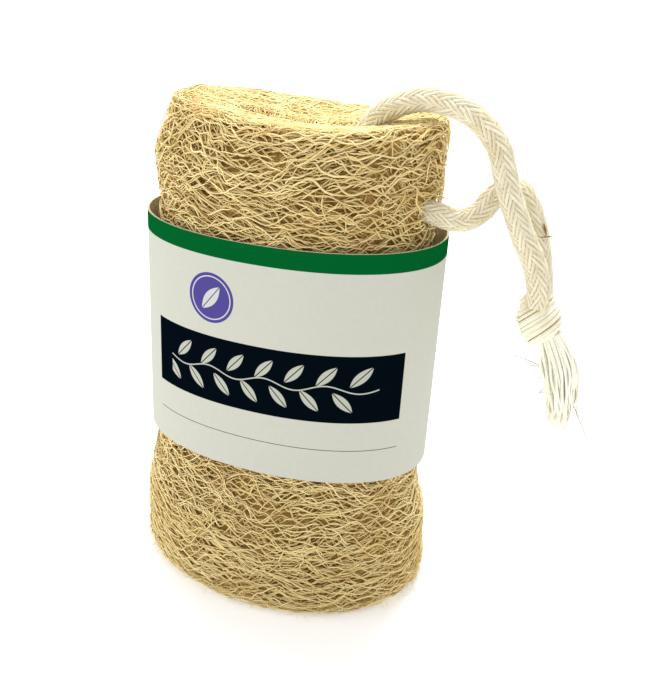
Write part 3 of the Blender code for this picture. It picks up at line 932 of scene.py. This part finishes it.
def face_strands(draw, strands, count, top, depths, thickness):
    """A mat of short strands over a cut face, most of them along its length."""
    half_width, half_depth = TOP_MAT if top else BOTTOM_MAT
    centre = TOP_MIDDLE if top else 0.0
    for _ in range(count):
        steps = int(draw.uniform(5.0, 18.0) * MM / NET_STEP)
        spin = draw.uniform(0.0, 2.0 * math.pi)
        out = math.sqrt(draw.uniform(0.0, 1.0))
        x, y = centre + half_width * out * math.cos(spin), half_depth * out * math.sin(spin)
        heading = draw.normal(0.0, 0.75) + (math.pi if draw.uniform() < 0.5 else 0.0)
        bend = draw.normal(0.0, 0.09)
        wobble, start = draw.uniform(0.1, 0.5), draw.uniform(0.0, 6.3)
        xs, ys = [], []
        for step in range(steps):
            angle = heading + bend * step + wobble * math.sin(0.8 * step + start)
            x += NET_STEP * math.cos(angle)
            y += NET_STEP * math.sin(angle)
            if abs((x - centre) / half_width) ** 2.2 + abs(y / half_depth) ** 2.2 > 1.0:
                break
            xs.append(x)
            ys.append(y)
        if len(xs) < 5:
            continue
        xs, ys = np.array(xs), np.array(ys)
        depth = draw.uniform(*depths)
        under = depth + 0.7 * MM * (1.0 - tapered(len(xs), 0.2))
        width = thickness * draw.uniform(0.7, 1.2) * tapered(len(xs), 0.2)
        points = face_place(xs, ys, under, top)
        # The depth value here sets the strand's painted shade.
        strands.add(points, width, draw.uniform(0.0, 1.0), depth / FACE_PAINTED_SHADE_DEPTH)


def make_faces():
    """The cut top, a close pale mat, and the cut bottom."""
    draw = np.random.default_rng(31)
    top, bottom = Strands(), Strands()
    face_strands(draw, top, 1800, True, (-0.15 * MM, 0.4 * MM), 0.36 * MM)
    face_strands(draw, top, 1100, True, (0.4 * MM, 1.7 * MM), 0.5 * MM)
    face_strands(draw, bottom, 900, False, (0.0 * MM, 0.4 * MM), 0.5 * MM)
    face_strands(draw, bottom, 500, False, (0.4 * MM, 1.4 * MM), 0.6 * MM)
    return [top.grow("loofah_cut_top"), bottom.grow("loofah_cut_bottom")]


BROKEN_ENDS = 820
EDGE_ENDS = 300
TUFT_PLACE = (33.9 * MM, -0.5 * MM, 106.0 * MM)
TUFT_HAIRS = 7


def hair(draw, start, heading, length, droop, steps=6):
    """A thin curved hair from start."""
    side = np.array([draw.normal(), draw.normal(), draw.normal()]) * 0.35
    t = np.linspace(0.0, 1.0, steps)[:, None]
    points = start + heading * length * t + side * length * 0.5 * t**2
    points[:, 2] -= droop * length * t[:, 0] ** 2
    return points


def make_fringe():
    """Short broken ends that stand out of the net, most of them along the cut bottom edge."""
    draw = np.random.default_rng(47)
    strands = Strands()
    for number in range(BROKEN_ENDS):
        at_edge = number < EDGE_ENDS
        u = draw.uniform(0.0, GIRTH)
        v = draw.uniform(-3.5, 2.5) * MM if at_edge else draw.uniform(0.0, SIDE_HEIGHT)
        if covered(np.array([u]), np.array([v]), 2.0 * MM)[0] > 0.05:
            continue
        inside, outside = sponge_place(
            np.array([u, u]), np.array([v, v]), np.array([0.9 * MM, -0.1 * MM])
        )
        heading = (outside - inside) / MM * 0.5 + draw.normal(0.0, 0.45, 3)
        length = draw.uniform(1.0, 2.8 if at_edge else 1.9) * MM
        points = hair(draw, inside, heading, length, 0.5 if at_edge else 0.1)
        points[:, 2] = np.maximum(points[:, 2], 0.15 * MM)
        thickness = draw.uniform(0.12, 0.24) * MM * np.linspace(1.0, 0.4, len(points))
        strands.add(points, thickness, draw.uniform(0.0, 0.6), 0.0)
    for _ in range(TUFT_HAIRS):
        start = np.array(TUFT_PLACE) + draw.normal(0.0, 0.6 * MM, 3)
        heading = np.array((0.95, -0.1, 0.05)) + draw.normal(0.0, 0.25, 3)
        points = hair(draw, start, heading, draw.uniform(2.5, 4.5) * MM, 0.05)
        strands.add(points, 0.3 * MM * np.linspace(1.0, 0.4, len(points)), 0.8, 0.3)
    return strands.grow("loofah_fringe")


ride(make_backing())
net = [ride(piece) for piece in [*make_net(), *make_faces(), make_fringe()]]
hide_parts("loofah_sponge")


# Paper sleeve, with a plain print of its own: a stripe, a band of leaves, a thin rule, a round mark

SLEEVE_HALF_WIDTH = 37.5 * MM
SLEEVE_HALF_DEPTH = 21.7 * MM
SLEEVE_ROUNDNESS = 2.15
CARD_THICKNESS = 0.5 * MM
GLUED_LAP = (-14.0 * MM, -2.0 * MM)
LAP_STANDS_OUT = 0.45 * MM
LAP_EASE = 0.6 * MM
SHARP_EDGE = math.radians(60)

# The print, in millimetres: heights along the sleeve's middle, places across from it
STRIPE_HEIGHT = 4.62
BAND_LOW = 52.5
BAND_HIGH = 69.9
BAND_LEFT = -27.6
BAND_RIGHT = 33.8
BAND_MIDDLE = 61.2
RULE_LEVEL = 44.9
LEAF_PERIOD = 7.4
LEAF_OFFSET = 3.3
LEAF_LEAN = 0.85
LEAF_SIZE = (3.5, 1.25)
SPRIG_LEFT = -22.9
SPRIG_RIGHT = 29.6
LAST_LOWER_LEAF = 25.6
PAPER_COLOUR = colour(193, 194, 182)
MARK_PLACE = (-10.5, 79.6)
MARK_RADIUS = 6.2
MARK_LEAF_SIZE = (4.0, 1.6)
MARK_LEAF_LEAN = 0.9


def leaves(t, across, level, period, lean, size):
    """A row of leaning leaves, one to a period, each with a bare vein."""
    length, width = size
    local = t.times(t.minus(t.math("FRACT", t.over(across, period)), 0.5), period)
    along = t.plus(t.times(local, math.cos(lean)), t.times(level, math.sin(lean)))
    aside = t.minus(t.times(level, math.cos(lean)), t.times(local, math.sin(lean)))
    share = t.over(along, length)
    edge = t.times(t.minus(1.0, t.times(share, share)), width)
    from_vein = t.math("ABSOLUTE", aside)
    leaf = t.between(t.minus(edge, from_vein), -0.03, 0.06)
    return t.times(leaf, t.between(from_vein, 0.08, 0.16))


def paper_material(name):
    """Matt uncoated paper with the sleeve's print, by its height and its place across."""
    material, t, shader = new_material(name, PAPER_COLOUR, 0.7, 0.0)
    place = t.place()
    parts = t.node("ShaderNodeSeparateXYZ", {"Vector": t.scaled(place, 1.0 / MM)}).outputs
    across = t.minus(parts["X"], SPONGE_SHIFT / MM)
    height = t.minus(parts["Z"], t.times(across, SLEEVE_SLOPE))
    front = t.between(parts["Y"], 0.5, -0.5)

    stripe_foot = SLEEVE_TOP / MM - STRIPE_HEIGHT
    stripe = t.between(height, stripe_foot - 0.04, stripe_foot + 0.04)
    printed = t.times(t.inside(across, BAND_LEFT, BAND_RIGHT), front)
    band = t.times(t.inside(height, BAND_LOW, BAND_HIGH), printed)
    rule = t.times(t.inside(height, RULE_LEVEL - 0.11, RULE_LEVEL + 0.11, 0.03), printed)

    level = t.minus(height, BAND_MIDDLE)
    stem_wave = t.times(t.math("SINE", t.times(across, math.pi / LEAF_PERIOD)), 0.9)
    stem = t.between(t.math("ABSOLUTE", t.minus(level, stem_wave)), 0.22, 0.12)
    upper = leaves(
        t, across, t.minus(level, LEAF_OFFSET), LEAF_PERIOD, LEAF_LEAN, LEAF_SIZE
    )
    shifted = t.plus(across, 0.5 * LEAF_PERIOD)
    lower = leaves(
        t, shifted, t.plus(level, LEAF_OFFSET), LEAF_PERIOD, -LEAF_LEAN, LEAF_SIZE
    )
    lower = t.times(lower, t.between(across, LAST_LOWER_LEAF + 0.05, LAST_LOWER_LEAF - 0.05))
    sprig = t.math("MAXIMUM", stem, t.math("MAXIMUM", upper, lower))
    sprig = t.times(sprig, t.inside(across, SPRIG_LEFT, SPRIG_RIGHT))
    sprig = t.times(sprig, t.inside(height, BAND_LOW + 1.2, BAND_HIGH - 1.2))

    mark_across = t.minus(across, MARK_PLACE[0])
    mark_up = t.minus(height, MARK_PLACE[1])
    squares = t.plus(t.times(mark_across, mark_across), t.times(mark_up, mark_up))
    from_mark = t.math("SQRT", squares)
    disc = t.times(t.between(from_mark, MARK_RADIUS + 0.05, MARK_RADIUS - 0.05), front)
    halo = t.inside(from_mark, MARK_RADIUS - 1.05, MARK_RADIUS - 0.75)
    mark_leaf = leaves(
        t, t.plus(mark_across, 20.0), mark_up, 40.0, MARK_LEAF_LEAN, MARK_LEAF_SIZE
    )
    in_mark = t.math("MAXIMUM", halo, mark_leaf)

    mottle = t.noise(place, 900.0, 4.0, 0.6)
    ink = t.mix(mottle, colour(197, 198, 186), colour(189, 190, 178))
    ink = t.mix(disc, ink, t.mix(in_mark, colour(78, 70, 138), colour(196, 196, 190)))
    ink = t.mix(t.times(rule, 0.8), ink, colour(52, 56, 54))
    dark = t.mix(t.times(sprig, 0.92), colour(4, 11, 18), colour(186, 188, 174))
    ink = t.mix(band, ink, dark)
    ink = t.mix(stripe, ink, colour(3, 88, 38))
    t.feed(shader.inputs["Base Color"], ink)
    t.feed(shader.inputs["Roughness"], t.plus(t.times(mottle, 0.2), 0.5))
    fine = t.noise(place, 1400.0, 3.0, 0.6)
    t.feed(shader.inputs["Normal"], t.bump(0.15, 0.1 * MM, fine))
    return material


def card_material(name):
    """The unprinted inside and the cut edges of the card."""
    material, t, shader = new_material(name, colour(200, 192, 164), 0.85, 0.0)
    pulp = t.noise(t.place(), 1200.0, 4.0, 0.65)
    t.feed(shader.inputs["Base Color"], t.mix(pulp, colour(214, 206, 178), colour(188, 178, 146)))
    t.feed(shader.inputs["Normal"], t.bump(0.3, 0.1 * MM, pulp))
    return material


def make_sleeve():
    """One strip of card round the sponge, with its glued lap at the back."""
    draw = np.random.default_rng(53)
    dents = Field(draw, 60.0 * MM)
    sides, levels = 288, 26
    angle = np.linspace(0.0, 2.0 * math.pi, sides, endpoint=False)
    x, y, out_x, out_y = outline(
        SLEEVE_HALF_WIDTH, SLEEVE_HALF_DEPTH, SLEEVE_ROUNDNESS, angle
    )
    lap_start, lap_end = GLUED_LAP
    lap = ease((x - lap_start) / LAP_EASE) * ease((lap_end - x) / LAP_EASE) * (y > 0.0)
    bm = bmesh.new()
    rings = []
    heights = np.linspace(SLEEVE_BOTTOM, SLEEVE_TOP, levels)
    for outer, level in [(True, h) for h in heights] + [(False, h) for h in heights[::-1]]:
        wave = 0.16 * MM * dents(GIRTH * angle / (2.0 * math.pi), np.full(sides, level))
        reach = wave + (LAP_STANDS_OUT * lap if outer else -CARD_THICKNESS)
        ring = [
            bm.verts.new((px + SPONGE_SHIFT, py, level + SLEEVE_SLOPE * px))
            for px, py in zip(x + out_x * reach, y + out_y * reach)
        ]
        rings.append(ring)
    for number, ring in enumerate(rings):
        following = rings[(number + 1) % len(rings)]
        bridge(bm, ring, following, 0 if number < levels - 1 else 1)
    bmesh.ops.recalc_face_normals(bm, faces=bm.faces)
    for edge in bm.edges:
        edge.smooth = edge.calc_face_angle() < SHARP_EDGE
    materials = [paper_material("printed paper"), card_material("bare card")]
    return object_from("paper_sleeve_printed", bm, materials)


sleeve = ride(make_sleeve())
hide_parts("paper_sleeve")


# Knot and tassel

KNOT_CENTRE = np.array((59.6, 0.0, 82.1)) * MM
KNOT_HALF_SIZE = np.array((5.1, 6.7, 5.8)) * MM
KNOT_WRAP_AXIS = np.array((-0.5, 0.2, 0.84))
KNOT_TURNS = 3.3
KNOT_YARNS = 13
TASSEL_TOP_LEAN = math.radians(30)
TASSEL_END_LEAN = math.radians(2)
TASSEL_LENGTH = 24.0 * MM
TASSEL_YARNS = 104
GOLDEN_TURN = 2.399963
# Each row: start, end, width
SCRAP_MM = (
    ((57.2, 2.1, 102.9), (58.2, 1.6, 100.5), 0.65),
    ((57.1, 1.4, 99.9), (60.3, 0.8, 101.2), 0.3),
)
# Each row: share of the tassel's length, heading, length in millimetres
STRAY_HAIRS = (
    (0.34, (-0.9, -0.2, 0.42), 8.5),
    (0.36, (-0.8, -0.3, 0.62), 6.0),
    (0.42, (-0.7, -0.2, 0.25), 4.5),
    (0.5, (-0.8, -0.2, -0.2), 4.0),
    (0.55, (-0.6, -0.3, -0.45), 3.5),
    (0.78, (0.55, -0.2, -0.8), 9.0),
    (0.5, (0.5, -0.1, -0.75), 7.0),
)


def cotton_strands(name, yarns, sides, material):
    """Cotton yarns, each (line, thickness, tone), with the twist's place along each."""
    values = {"thickness": [], "along": [], "tone": []}
    for line, thickness, tone in yarns:
        steps = np.linalg.norm(np.diff(line, axis=0), axis=1)
        values["thickness"].append(thickness)
        values["along"].append(np.concatenate([[0.0], np.cumsum(steps)]))
        values["tone"].append(np.full(len(line), tone))
    mesh = line_mesh(name, [yarn[0] for yarn in yarns], values)
    return grown(name, mesh, STRANDS, {"Sides": sides, "Material": material})


def make_knot():
    """Turns of the cord pulled tight round each other, each a bundle of fine yarns."""
    draw = np.random.default_rng(61)
    axis = KNOT_WRAP_AXIS / np.linalg.norm(KNOT_WRAP_AXIS)
    first = np.cross(axis, (0.0, 1.0, 0.0))
    first /= np.linalg.norm(first)
    second = np.cross(axis, first)
    t = np.linspace(0.0, 1.0, 110)[:, None]
    turn = 2.0 * math.pi * KNOT_TURNS * t - 0.8
    rise = (t - 0.5) * 2.0
    ring = 0.52 * np.sqrt(1.0 - (0.72 * rise) ** 2)
    ring = ring * (0.35 + 0.65 * ease(np.minimum(t, 1.0 - t) / 0.09))
    yarns = []
    for yarn in range(KNOT_YARNS):
        spin = 2.0 * math.pi * (yarn / KNOT_YARNS + 0.8 * t)
        fat = 0.36 + 0.05 * np.sin(9.0 * t + 2.3 * yarn) * draw.uniform(0.3, 1.0)
        radial = ring + fat * np.cos(spin)
        axial = 0.66 * rise + fat * np.sin(spin)
        points = radial * (np.cos(turn) * first + np.sin(turn) * second) + axial * axis
        line = KNOT_CENTRE + points * (KNOT_HALF_SIZE - 0.4 * MM) * 1.06
        thickness = np.full(len(t), draw.uniform(0.8, 1.12) * MM)
        yarns.append((line, thickness, draw.uniform(0.0, 1.0)))
    knot = cotton_strands("cord_knot_wraps", yarns, 6, KNOT_COTTON_PAINTED_LIGHT)
    bm = bmesh.new()
    bmesh.ops.create_icosphere(bm, subdivisions=3, radius=1.0)
    for vert in bm.verts:
        vert.co = Vector(KNOT_CENTRE + np.array(vert.co) * KNOT_HALF_SIZE * 0.8)
    return joined([knot, object_from("knot_filling", bm, [KNOT_COTTON_PAINTED_LIGHT])])


def leaning(angle):
    return np.array((math.sin(angle), 0.0, -math.cos(angle)))


TASSEL_TOP_WAY = leaning(TASSEL_TOP_LEAN)
TASSEL_END_WAY = leaning(TASSEL_END_LEAN)
TASSEL_ACROSS = np.array((math.cos(TASSEL_TOP_LEAN), 0.0, math.sin(TASSEL_TOP_LEAN)))
TASSEL_AWAY = np.array((0.0, 1.0, 0.0))
TASSEL_START = KNOT_CENTRE + TASSEL_TOP_WAY * 4.6 * MM + TASSEL_ACROSS * 0.7 * MM


def tassel_fall(t):
    """The tassel's middle line from its start, in shares of its length."""
    return TASSEL_TOP_WAY * (t - 0.5 * t * t) + TASSEL_END_WAY * (0.5 * t * t)


def make_tassel():
    """The frayed ends of the cord under the knot: soft wavy yarns."""
    draw = np.random.default_rng(67)
    t = np.linspace(0.0, 1.0, 20)[:, None]
    bulge = (2.7 + 1.0 * np.sin(math.pi * np.minimum(t * 1.1, 1.0)) + 0.3 * t) * MM
    yarns = []
    for number in range(TASSEL_YARNS):
        spin = GOLDEN_TURN * number
        out = math.sqrt((number + 0.5) / TASSEL_YARNS)
        spoke = TASSEL_ACROSS * math.cos(spin) + TASSEL_AWAY * math.sin(spin)
        length = TASSEL_LENGTH * draw.uniform(0.8, 1.02) * (1.0 - 0.08 * out)
        sway = np.sin(t * draw.uniform(6.0, 14.0) + draw.uniform(0.0, 6.0))
        sway = sway * draw.uniform(0.15, 0.6) * MM * t * (TASSEL_ACROSS + TASSEL_AWAY)
        side = draw.normal(0.0, 0.35, 3) * MM * t
        line = TASSEL_START + tassel_fall(t) * length + spoke * out * bulge + sway + side
        thickness = draw.uniform(0.5, 0.9) * MM * (1.0 - 0.4 * t[:, 0] ** 3)
        yarns.append((line, thickness, draw.uniform(0.0, 1.0)))
    return cotton_strands("cord_tassel_yarns", yarns, 5, LOOSE_COTTON_PAINTED_LIGHT)


def make_stray_hairs():
    """The few long hairs that stand out of the tassel, and a scrap of loofah caught on the cord."""
    draw = np.random.default_rng(73)
    yarns = []
    for share, heading, length in STRAY_HAIRS:
        aside = TASSEL_ACROSS * 2.5 * np.sign(heading[0]) * MM
        start = TASSEL_START + tassel_fall(share) * TASSEL_LENGTH + aside
        line = hair(draw, start, np.array(heading), length * MM, 0.1, 8)
        yarns.append((line, np.linspace(0.32, 0.22, 8) * MM, 0.1))
    for start, end, width in SCRAP_MM:
        t = np.linspace(0.0, 1.0, 6)[:, None]
        line = (np.array(start) * (1.0 - t) + np.array(end) * t) * MM
        yarns.append((line, width * MM * tapered(6, 0.4), 1.0))
    return cotton_strands("cord_stray_hairs", yarns, 4, STRAY)


def make_fuzz():
    """Fine stray hairs along the cord."""
    draw = np.random.default_rng(71)
    yarns = []
    for _ in range(700):
        number = int(draw.integers(2, len(cord_line) - 2))
        ahead = cord_line[number + 1] - cord_line[number - 1]
        ahead /= np.linalg.norm(ahead)
        spoke = np.cross(ahead, draw.normal(0.0, 1.0, 3))
        spoke /= np.linalg.norm(spoke)
        start = cord_line[number] + spoke * 2.35 * MM
        heading = 0.5 * spoke + ahead * draw.choice((-0.9, 0.9)) + draw.normal(0.0, 0.25, 3)
        line = hair(draw, start, heading, draw.uniform(0.8, 2.0) * MM, 0.0, 5)
        yarns.append((line, np.linspace(0.1, 0.05, 5) * MM, 0.3))
    return cotton_strands("cord_fuzz", yarns, 3, COTTON)


knot = ride(make_knot())
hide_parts("cord_knot")
tassel = ride(make_tassel())
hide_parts("cord_tassel")
fuzz = ride(make_fuzz())
hairs = ride(make_stray_hairs())


# Floor, light and world

WHITE = (1.0, 1.0, 1.0, 1.0)
FLOOR_COLOUR = (0.9, 0.9, 0.9, 1.0)
FLOOR_GLOW = 0.27
FLOOR_RADIUS = 4.0
WORLD_GLOW = 0.82


def make_stage():
    """A white floor that glows a little, in white light from all round."""
    material, _, shader = new_material("studio floor", FLOOR_COLOUR, 0.9, 0.0)
    shader.inputs["Emission Color"].default_value = WHITE
    shader.inputs["Emission Strength"].default_value = FLOOR_GLOW
    bm = bmesh.new()
    bmesh.ops.create_circle(bm, cap_ends=True, segments=64, radius=FLOOR_RADIUS)
    floor = object_from("studio_floor", bm, [material])
    world = bpy.data.worlds.new("studio")
    world.use_nodes = True
    background = world.node_tree.nodes["Background"]
    background.inputs["Color"].default_value = WHITE
    background.inputs["Strength"].default_value = WORLD_GLOW
    bpy.context.scene.world = world


def area_light(name, place, aim, size, watts):
    """A round softbox at place that faces aim."""
    data = bpy.data.lights.new(name, "AREA")
    data.shape = "DISK"
    data.size = size
    data.energy = watts
    light = bpy.data.objects.new(name, data)
    light.location = place
    light.rotation_mode = "QUATERNION"
    light.rotation_quaternion = (Vector(aim) - Vector(place)).to_track_quat("-Z", "Y")
    bpy.context.scene.collection.objects.link(light)


make_stage()
area_light("top softbox", place=(-0.12, 0.3, 0.9), aim=(0.0, 0.0, 0.1), size=0.4, watts=9.0)
area_light("left softbox", place=(-0.8, -0.35, 0.45), aim=(0.0, 0.0, 0.06), size=0.45, watts=2.0)
bpy.context.scene.view_settings.view_transform = "Standard"
